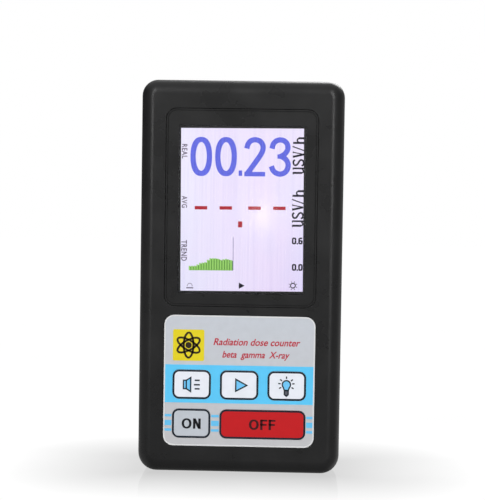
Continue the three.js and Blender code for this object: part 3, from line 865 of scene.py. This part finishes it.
def film_print(name, shapes, look, overprint=False):
    front = OVERPRINT_FRONT if overprint else PRINT_FRONT
    flat_piece(name, shapes, front, PRINT_BACK, look, "case")


def make_film_rim():
    """A pale band painted round the film's margin: a painted highlight where its cut edge catches
    the light.
    """
    rings = [
        box_outline(FILM_LOW, FILM_HIGH, FILM_CORNER, -inset, 12)
        for inset in (0.01 * MM, RIM_WIDTH)
    ]
    film_print("film_rim_highlight", [rings], "film_rim_highlight", overprint=True)


def print_bar(start, end, height, width):
    """A bar across the film, from one place in X to another, at a height in millimetres."""
    middle = (start + end) / 2, FILM_LOW.z + height * MM
    return rounded(*middle, end - start, width * MM, 0.05 * MM, 2)


def make_band():
    height, width = (BAND_BOTTOM + BAND_TOP) / 2, BAND_TOP - BAND_BOTTOM
    outer = print_bar(FILM_LOW.x + FILM_MARGIN, FILM_HIGH.x - FILM_MARGIN, height, width)
    holes = [key_outline(key, KEY_GAP) for key in ("sound", "play", "light")]
    film_print("blue_band", [[outer, *holes]], "band")


def make_stripes():
    edges = [FILM_LOW.x + FILM_MARGIN]
    for key in ("on", "off"):
        low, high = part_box(f"key_{key}")
        edges += [low.x - STRIPE_GAP * MM, high.x + STRIPE_GAP * MM]
    edges.append(FILM_HIGH.x - FILM_MARGIN)
    shapes = []
    for start, end in zip(edges[::2], edges[1::2]):
        shapes += [[print_bar(start, end, height, width)] for height, width in STRIPES]
    film_print("stripes", shapes, "stripe")


def make_patch():
    """A yellow patch with a plain atom sign: a nucleus and three crossed orbits."""
    centre = on_film(*PATCH_PLACE)
    patch = rounded(*centre, PATCH_SIDE * MM, PATCH_SIDE * MM, 0.5 * MM)
    film_print("yellow_patch", [[patch]], "patch")
    orbit = scaled(oval(0, 0, 3.75, 1.45))
    ring = stroke(orbit, 0.62 * MM, closed=True)
    shapes = []
    for turn in (30, 90, 150):
        shapes += moved([ring], centre, radians(turn))
    shapes += moved([[scaled(oval(0, 0, 0.95, 0.95))]], centre)
    film_print("atom_sign", shapes, "symbol", overprint=True)


def make_title():
    lines = (
        ("title_upper", "Radiation dose counter", (27.77, 31.44), (26.0, 2.1)),
        ("title_lower", "beta  gamma  X-ray", (27.55, 27.4), (20.2, 2.65)),
    )
    depth = PRINT_FRONT, PRINT_BACK
    style = {"lean": 0.28, "offset": 0.018}
    for name, words, place, size in lines:
        text_piece(name, words, on_film(*place), size, depth, "title", "overlay_film", **style)


def print_on_key(key, name, loops, look, overprint=False):
    front = OVERPRINT_FRONT if overprint else PRINT_FRONT
    flat_piece(name, loops, front, PRINT_BACK, look, f"{key}_key")


def key_print(key, name, shapes, look, overprint=False):
    """A print on a key, from loops in millimetres about the key's middle."""
    placed = moved([[scaled(loop) for loop in shape] for shape in shapes], key_centre(key))
    print_on_key(key, name, placed, look, overprint)


def make_key_outlines():
    for key in KEY_LOOKS:
        ring = [key_outline(key, -0.01 * MM), key_outline(key, -OUTLINE_WIDTH)]
        print_on_key(key, f"outline_{key}", [ring], "outline")


def make_speaker_icon():
    pen = 0.42
    box_left, box_right, cone_right = -2.45, -1.62, -0.30
    half_box, half_cone = 1.25, 2.10
    lift = -0.07
    half = [(box_left, half_box), (box_right, half_box), (cone_right, half_cone)]
    body = [(u, lift - v) for u, v in half] + [(u, lift + v) for u, v in reversed(half)]
    neck = [(box_right, lift - half_box), (box_right, lift + half_box)]
    bars = ((0.92, 2.42, 1.24), (0.69, 2.46, -0.10), (0.92, 2.39, -1.33))  # two ends and height
    key_print("sound", "speaker_fill", [[body]], "icon_blue")
    lines = [stroke(body, pen, closed=True), stroke(neck, pen)]
    lines += [stroke([(start, lift), (end, lift)], 0.44) for start, end, lift in bars]
    key_print("sound", "speaker_lines", lines, "outline", overprint=True)


def make_play_icon():
    corners = [(-1.02, -1.82), (2.30, -0.03), (-1.02, 1.76)]
    key_print("play", "play_fill", [[corners]], "icon_blue")
    key_print("play", "play_lines", [stroke(corners, 0.42, closed=True)], "outline", overprint=True)


def make_bulb_icon():
    centre_x, centre_z, radius = -0.10, 0.42, 1.22
    neck_half, neck_z, foot_z = 0.58, -1.30, -2.55
    glass = []
    start, end = radians(-38), radians(218)
    for step in range(25):
        angle = start + (end - start) * step / 24
        glass.append(around(centre_x, centre_z, radius, angle))
    glass += [(centre_x - neck_half, neck_z), (centre_x + neck_half, neck_z)]
    base = [
        (centre_x - neck_half, neck_z - 0.05),
        (centre_x - neck_half, foot_z),
        (centre_x, foot_z - 0.5),
        (centre_x + neck_half, foot_z),
        (centre_x + neck_half, neck_z - 0.05),
    ]
    rays = []
    for degrees in (90, 40, 140, 8, 172, -28, 208):
        ray = [around(centre_x, centre_z, reach, radians(degrees)) for reach in (1.75, 2.48)]
        rays.append(stroke(ray, 0.37))
    key_print("light", "bulb_fill", [[glass]], "icon_blue")
    key_print("light", "bulb_base", [[base]], "icon_grey")
    lines = [stroke(glass, 0.4, closed=True), stroke(base, 0.4, closed=True), *rays]
    key_print("light", "bulb_lines", lines, "outline", overprint=True)


LETTER_HALF = 1.55
LETTER_PEN = 0.72
LETTER_BAR = 0.52


def letter_o(left, right):
    middle, half_width = (left + right) / 2, (right - left) / 2
    outer = oval(middle, 0, half_width, LETTER_HALF, 2.2)
    inner = oval(middle, 0, half_width - LETTER_PEN, LETTER_HALF - LETTER_BAR, 2.1)
    return [[outer, inner]]


def letter_n(left, right):
    stems = [
        stroke([(x, -LETTER_HALF), (x, LETTER_HALF)], LETTER_PEN)
        for x in (left + LETTER_PEN / 2, right - LETTER_PEN / 2)
    ]
    slant = [
        (left, LETTER_HALF),
        (right - 1.1 * LETTER_PEN, -LETTER_HALF),
        (right, -LETTER_HALF),
        (left + 1.1 * LETTER_PEN, LETTER_HALF),
    ]
    return [*stems, [slant]]


def letter_f(left, right):
    stem = left + LETTER_PEN / 2
    top = LETTER_HALF - LETTER_BAR / 2
    return [
        stroke([(stem, -LETTER_HALF), (stem, LETTER_HALF)], LETTER_PEN),
        stroke([(left, top), (right, top)], LETTER_BAR),
        stroke([(left, 0.02), (right - 0.18, 0.02)], LETTER_BAR),
    ]


def make_key_words():
    """ON and OFF, each letter drawn between its left and right side from the key's middle."""
    on = letter_o(-2.84, 0.11) + letter_n(0.57, 2.87)
    off = letter_o(-4.0, -1.07) + letter_f(-0.64, 1.46) + letter_f(1.88, 3.93)
    key_print("on", "word_on", moved(on, (0, -0.055)), "label_black")
    key_print("off", "word_off", moved(off, (0, -0.04)), "label_maroon")


# ------------------------ display picture

LENS_LOW, LENS_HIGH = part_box("window_lens")
PICTURE_CENTRE = (LENS_LOW.x + LENS_HIGH.x) / 2, (LENS_LOW.z + LENS_HIGH.z) / 2
PICTURE_TURN = radians(0.46)
PICTURE_SIZE = 36.66, 48.68
PANEL_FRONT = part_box("display_panel")[0].y
PICTURE_BACK = PANEL_FRONT - 0.01 * MM
PICTURE_FRONT = PICTURE_BACK - 0.05 * MM
DOTS_FRONT = PICTURE_FRONT - 0.03 * MM
DOTS_BACK = PICTURE_FRONT - 0.005 * MM
PICTURE_SLOT = "display_picture"


def placed_on_picture(shapes):
    """Loops in millimetres about the picture's middle, set down in the frame."""
    small = [[scaled(loop) for loop in shape] for shape in shapes]
    return moved(small, PICTURE_CENTRE, PICTURE_TURN)


def on_picture(name, shapes, look):
    """A drawn sign on the display, from loops in millimetres about the picture's middle."""
    flat_piece(name, placed_on_picture(shapes), DOTS_FRONT, DOTS_BACK, look, "case")


def block(u, v, width, height):
    return [rounded(u, v, width, height, 0.04, 2)]


def make_picture():
    placed = placed_on_picture([[rounded(0, 0, *PICTURE_SIZE, 0.1, 2)]])
    flat_piece("lit_picture", placed, PICTURE_FRONT, PICTURE_BACK, "picture", "case")


DIGIT_HEIGHT = 11.7
DIGIT_PEN = 1.58
READING_V = 15.87


def zero_strokes():
    outer = oval(0, 0, 3.24, DIGIT_HEIGHT / 2, 2.35)
    inner = oval(0, 0.02, 1.66, DIGIT_HEIGHT / 2 - 1.55, 2.0)
    return [[outer, inner]]


def two_strokes():
    hook = curve_through([
        (-2.42, 2.45), (-2.05, 3.75), (-1.2, 4.75), (0.15, 5.08), (1.55, 4.62), (2.38, 3.4),
        (2.36, 2.0), (1.7, 0.55), (0.55, -1.15), (-0.8, -3.05), (-2.3, -5.1),
    ])
    foot = [(-3.1, -5.16), (3.12, -5.16)]
    return [stroke(hook, DIGIT_PEN), stroke(foot, 1.36)]


def three_strokes():
    upper = curve_through([
        (-2.38, 2.45), (-1.95, 3.9), (-1.0, 4.8), (0.2, 5.07), (1.4, 4.7), (2.25, 3.6),
        (2.25, 2.1), (1.4, 0.85), (0.2, 0.15),
    ])
    lower = curve_through([
        (0.2, 0.2), (1.35, -0.35), (2.3, -1.55), (2.42, -3.0), (1.8, -4.35), (0.5, -5.06),
        (-0.85, -4.92), (-1.95, -4.1), (-2.55, -2.75),
    ])
    middle = [(-0.75, 0.12), (0.6, 0.12)]
    return [stroke(upper, DIGIT_PEN), stroke(lower, DIGIT_PEN), stroke(middle, 1.3)]


def make_reading():
    figures = (
        ("figure_tens", zero_strokes(), -12.29),
        ("figure_ones", zero_strokes(), -4.88),
        ("figure_tenths", two_strokes(), 3.72),
        ("figure_hundredths", three_strokes(), 11.20),
    )
    for name, shapes, u in figures:
        on_picture(name, moved(shapes, (u, READING_V)), "digit")
    on_picture("figure_point", [block(-0.56, 10.97, 1.05, 1.64)], "digit")


def make_dashes():
    shapes = [block(u, 0.55, 3.75, 1.02) for u in (-12.29, -4.86, 3.73, 11.16)]
    on_picture("average_dashes", shapes, "dash")
    on_picture("average_point", [block(-0.53, -4.33, 1.29, 1.80)], "dash")


BAR_COUNT = 17
BARS_LEFT = -15.86
BARS_RIGHT = -2.66
BARS_BOTTOM = -18.2
BAR_LIGHT_SHARE = 0.62
TREND = (
    (0.0, 1.25), (0.17, 1.35), (0.25, 2.15), (0.38, 2.4), (0.48, 3.6),
    (0.64, 3.65), (0.74, 3.15), (0.84, 3.5), (1.0, 3.0),
)


def bar_height(share):
    """The trend at a share of its width, along straight lines between its turning points."""
    for (start, low), (end, high) in zip(TREND, TREND[1:]):
        if share <= end:
            return low + (high - low) * (share - start) / (end - start)
    return TREND[-1][1]


def make_bars():
    """Each reading is a light stroke and a darker, slightly lower one."""
    pitch = (BARS_RIGHT - BARS_LEFT) / BAR_COUNT
    light, dark = [], []
    for index in range(BAR_COUNT):
        left = BARS_LEFT + index * pitch
        height = bar_height((index + 0.5) / BAR_COUNT)
        sides = (
            (light, left, left + pitch * BAR_LIGHT_SHARE, height + 0.06),
            (dark, left + pitch * BAR_LIGHT_SHARE, left + pitch, height - 0.12),
        )
        for strokes, start, end, tall in sides:
            strokes.append(block((start + end) / 2, BARS_BOTTOM + tall / 2, end - start, tall))
    on_picture("trend_bars_light", light, "bar_light")
    on_picture("trend_bars_dark", dark, "bar_dark")
    on_picture("trend_cursor", [block(-2.57, -13.2, 0.2, 9.9)], "line")


def unit_strokes():
    """The dose rate unit in a narrow face with heavy stems, read upwards along the right edge.

    The points run along the line and then up from its foot.
    """
    heavy, serif = 0.6, 0.3
    foot, top = 0.1, 3.24
    serifs = [(top, 0.0, 0.62), (top, 1.4, 1.95), (top, 4.95, 5.6), (top, 6.3, 6.8)]
    serifs += [(foot, 9.0, 9.72), (foot, 10.4, 11.1)]
    return [
        (heavy, [(0.42, 3.29), (0.42, 0.7)]),
        (0.42, curve_through([(0.42, 0.75), (0.62, 0.3), (1.1, 0.2), (1.6, 0.55)], 5)),
        (0.5, [(1.78, 3.29), (1.78, 0.02)]),
        (0.52, curve_through([
            (4.25, 2.72), (4.0, 3.1), (3.4, 3.2), (2.8, 2.9), (2.72, 2.35), (3.2, 1.85),
            (3.9, 1.45), (4.3, 0.95), (4.05, 0.35), (3.4, 0.12), (2.8, 0.3), (2.55, 0.75),
        ], 5)),
        (heavy, [(5.22, top), (5.95, foot)]),
        (0.3, [(5.95, foot), (6.55, top)]),
        (0.34, [(7.05, -0.05), (8.3, 3.49)]),
        (heavy, [(9.35, 3.32), (9.35, 0.05)]),
        (0.42, curve_through([(9.4, 1.35), (9.75, 1.95), (10.3, 2.08), (10.72, 1.6)], 5)),
        (heavy, [(10.75, 1.7), (10.75, 0.05)]),
        *((serif, [(start, level), (end, level)]) for level, start, end in serifs),
    ]


def make_units():
    length, height = 11.1, 3.34
    for name, u, v in (("unit_upper", 16.76, 16.28), ("unit_lower", 16.68, 0.52)):
        shapes = []
        for width, points in unit_strokes():
            centred = [(along - length / 2, up - height / 2) for along, up in points]
            shapes.append(stroke(centred, width))
        on_picture(name, moved(shapes, (u, v), pi / 2), "unit")


SMALL_PEN = 0.46


def small_zero(u):
    return stroke(rounded(u, 0, 0.84, 1.58, 0.25, 2), SMALL_PEN, closed=True)


def small_six(u):
    return [
        stroke(rounded(u, -0.38, 0.84, 0.82, 0.22, 2), SMALL_PEN, closed=True),
        stroke([(u - 0.42, -0.3), (u - 0.42, 0.55), (u - 0.15, 0.79), (u + 0.5, 0.79)], SMALL_PEN),
    ]


def make_scale():
    start = [small_zero(-0.95), block(0.02, -0.82, 0.42, 0.42)]
    on_picture("scale_top", moved([*start, *small_six(0.95)], (16.60, -9.16)), "unit")
    on_picture("scale_foot", moved([*start, small_zero(0.95)], (16.65, -17.07)), "unit")


def make_side_words():
    """Small words read downwards along the left edge."""
    lines = (
        ("word_real", "REAL", (-17.24, 17.40), (4.30, 1.60)),
        ("word_avg", "AVG", (-17.25, 2.31), (3.59, 1.60)),
        ("word_trend", "TREND", (-17.30, -12.28), (6.21, 1.70)),
    )
    depth = DOTS_FRONT, DOTS_BACK
    style = {"turn": PICTURE_TURN - pi / 2, "space": 1.12, "offset": 0.02}
    for name, words, middle, size in lines:
        centre = placed_on_picture([[[middle]]])[0][0][0]
        text_piece(name, words, centre, size, depth, "faint", PICTURE_SLOT, **style)


def make_small_icons():
    on_picture("icon_play", [[[(-0.80, -23.66), (0.95, -22.72), (-0.80, -21.78)]]], "unit")
    sun_u, sun_v = 15.40, -22.56
    sun = [stroke(oval(sun_u, sun_v, 0.72, 0.72, steps=24), 0.32, closed=True)]
    for index in range(8):
        angle = radians(22.5 + 45 * index)
        ray = [around(sun_u, sun_v, reach, angle) for reach in (1.0, 1.35)]
        sun.append(stroke(ray, 0.2))
    on_picture("icon_sun", sun, "unit")
    bell_u, bell_v = -15.52, -22.73
    dome = [
        (bell_u + 0.75 * cos(radians(d)), bell_v - 0.3 + 0.95 * sin(radians(d)))
        for d in range(0, 181, 15)
    ]
    lid = [(bell_u - 1.05, bell_v - 0.75), (bell_u + 1.05, bell_v - 0.75)]
    on_picture("icon_bell", [stroke(dome, 0.16), stroke(lid, 0.34)], "faint")


# ------------------------ inner parts

INNER_LOOKS = {
    "glass_panel": ("display_panel",),
    "tray": ("display_tray",),
    "foam": ("display_foam",),
    "flex": ("display_flex",),
    "black": ("display_connector", "processor_chip", "buzzer", "charge_chip"),
    "tape": ("overlay_adhesive", "battery_tape"),
    "board": ("main_board",),
    "pouch": ("battery",),
    "nylon": ("battery_connector",),
    "lead_red": ("battery_lead_red",),
    "lead_black": ("battery_lead_black",),
    "glass": ("counter_tube",),
    "ferrite": ("hv_transformer",),
    "dipped": ("hv_capacitor",),
    "nickel": (
        "tube_cap_lower", "tube_cap_upper", "tube_clip_lower", "tube_clip_upper",
        "crystal", "charge_socket",
    ),
}


def dress_inner_parts():
    for look, nodes in INNER_LOOKS.items():
        for node in nodes:
            dress(node, look)
    for key in KEY_LOOKS:
        dress(f"stem_{key}", "nylon")
        dress(f"switch_{key}", "black")


# ------------------------ floor, light and world

FLOOR_HALF = 1.5
FLOOR_DROP = 0.02 * MM
REFLECTION_REACH = 40 * MM
REFLECTION_SHARE = 0.40


def floor_finish():
    """A near white sheet that is slightly glossy, and reflects the counter's foot close by it."""
    finish = Finish("floor_sheet")
    tree = finish.tree
    tree.nodes.remove(finish.surface)
    split = finish.add("ShaderNodeSeparateXYZ")
    finish.link(finish.coordinates(), split.inputs["Vector"])
    outside = finish.add("ShaderNodeCombineXYZ")
    for axis, half in (("X", CASE_HIGH.x), ("Y", CASE_HIGH.y)):
        past = finish.maths("SUBTRACT", finish.maths("ABSOLUTE", split.outputs[axis]), half)
        finish.link(finish.maths("MAXIMUM", past, 0.0), outside.inputs[axis])
    length = finish.add("ShaderNodeVectorMath", operation="LENGTH")
    finish.link(outside.outputs[0], length.inputs[0])
    share = finish.spread(length.outputs["Value"], REFLECTION_SHARE, 0.0, 0.0, REFLECTION_REACH)
    mottle = finish.noise(30 * MM, 2)
    white = finish.ramp(mottle, (0.3, (1.0, 1.0, 1.0, 1)), (0.7, (1.02, 1.02, 1.02, 1)))
    glow = finish.add("ShaderNodeEmission")
    finish.link(white, glow.inputs["Color"])
    gloss = finish.add("ShaderNodeBsdfAnisotropic")
    gloss.inputs["Roughness"].default_value = 0.06
    mix = finish.add("ShaderNodeMixShader")
    finish.link(share, mix.inputs["Fac"])
    finish.link(glow.outputs[0], mix.inputs[1])
    finish.link(gloss.outputs[0], mix.inputs[2])
    output = next(n for n in tree.nodes if n.type == "OUTPUT_MATERIAL")
    finish.link(mix.outputs[0], output.inputs["Surface"])
    return finish.material


def make_floor():
    bm = bmesh.new()
    bmesh.ops.create_grid(bm, x_segments=8, y_segments=8, size=FLOOR_HALF)
    bmesh.ops.translate(bm, vec=(0, 0, CASE_LOW.z - FLOOR_DROP), verts=bm.verts)
    mesh = new_mesh("floor", bm)
    mesh.materials.append(floor_finish())
    floor = new_object("floor", mesh)
    floor.visible_glossy = False
    floor.visible_diffuse = False
    floor.visible_transmission = False


def area_light(name, shape, size, power, place, bearing):
    """An area light at a place, turned against its bearing from what it lights."""
    data = bpy.data.lights.new(name, "AREA")
    data.shape = shape
    data.size, data.size_y = size
    data.energy = power
    light = new_object(name, data)
    light.location = place
    light.rotation_mode = "QUATERNION"
    light.rotation_quaternion = bearing.to_track_quat("Z", "Y")
    light.visible_camera = False
    return light


SOFTBOX_DISTANCE = 0.9


def softbox(name, azimuth, elevation, size, power):
    """A soft light at this bearing from the counter's middle."""
    bearing = bearing_of(azimuth, elevation)
    place = (CASE_LOW + CASE_HIGH) / 2 + bearing * SOFTBOX_DISTANCE
    return area_light(name, "RECTANGLE", size, power, place, bearing)


GLARE_OFFSET = 6.14 * MM, -1.59 * MM
GLARE_DISTANCE = 488 * MM
GLARE_SIZE = 13 * MM
GLARE_POWER = 0.0023


def make_glare():
    """A small lamp beside the camera, where the lens mirrors it as a faint round spot."""
    x, z = (middle + offset for middle, offset in zip(PICTURE_CENTRE, GLARE_OFFSET))
    spot = Vector((x, LENS_LOW.y, z))
    from_camera = (spot - camera.location).normalized()
    towards = Vector((from_camera.x, -from_camera.y, from_camera.z))
    place = spot + towards * GLARE_DISTANCE
    area_light("glare_lamp", "DISK", (GLARE_SIZE, GLARE_SIZE), GLARE_POWER, place, towards)


def make_lights():
    softbox("soft_left", -22.5, 23.2, (0.13, 0.62), 2.55)
    softbox("soft_right", 20.5, 21.2, (0.13, 0.62), 2.4)
    softbox("low_left", -22.5, -1, (0.13, 0.13), 0.11)
    softbox("low_right", 20.5, -2, (0.13, 0.16), 0.2)
    softbox("soft_back", 160, 40, (0.5, 0.5), 4.0)
    fill = softbox("soft_fill", 8, 35, (0.6, 0.6), 1.08)
    fill.visible_glossy = False
    make_glare()


def make_world():
    """Plain white to the camera, and a studio to all other rays.

    The studio is bright above, dark on the counter's left, and pale low down on both sides,
    where the round edges of the case mirror the floor.
    """
    world = bpy.data.worlds.new("studio")
    world.use_nodes = True
    nodes = Nodes(world.node_tree)
    nodes.tree.nodes.clear()
    split = nodes.add("ShaderNodeSeparateXYZ")
    nodes.link(nodes.add("ShaderNodeTexCoord").outputs["Generated"], split.inputs["Vector"])
    x, y, z = (split.outputs[axis] for axis in "XYZ")
    middle = nodes.greys(z, (-0.1, 0.24), (0.0, 0.35), (0.2, 0.34), (0.45, 0.38), (0.75, 0.7))
    left = nodes.greys(z, (-0.16, 0.5), (-0.06, 0.2), (0.02, 0.03), (0.4, 0.03), (0.75, 0.6))
    right = nodes.greys(z, (-0.16, 0.8), (-0.04, 0.4), (0.3, 0.34), (0.6, 0.7))
    beyond = nodes.spread(y, 0, 1, -0.65, -0.35)
    rear = nodes.spread(y, 0.5, 1.0, -0.1, 0.35)
    room = nodes.blend(nodes.product(nodes.spread(x, 1, 0, -0.6, -0.4), beyond), middle, left)
    right_wall = nodes.blend(1.0, right, rear, "MULTIPLY")
    room = nodes.blend(nodes.product(nodes.spread(x, 0, 1, 0.4, 0.6), beyond), room, right_wall)
    to_camera = nodes.add("ShaderNodeLightPath").outputs["Is Camera Ray"]
    background = nodes.add("ShaderNodeBackground")
    white = (1.0, 1.0, 1.0, 1.0)
    nodes.link(nodes.blend(to_camera, room, white), background.inputs["Color"])
    output = nodes.add("ShaderNodeOutputWorld")
    nodes.link(background.outputs[0], output.inputs["Surface"])
    bpy.context.scene.world = world


# ------------------------ the whole scene

make_case()
make_film()
make_film_rim()
make_band()
make_stripes()
make_patch()
make_title()
make_key_outlines()
make_speaker_icon()
make_play_icon()
make_bulb_icon()
make_key_words()
make_picture()
make_reading()
make_dashes()
make_bars()
make_units()
make_scale()
make_side_words()
make_small_icons()
dress_inner_parts()
make_floor()
make_lights()
make_world()
bpy.context.scene.view_settings.view_transform = "Standard"
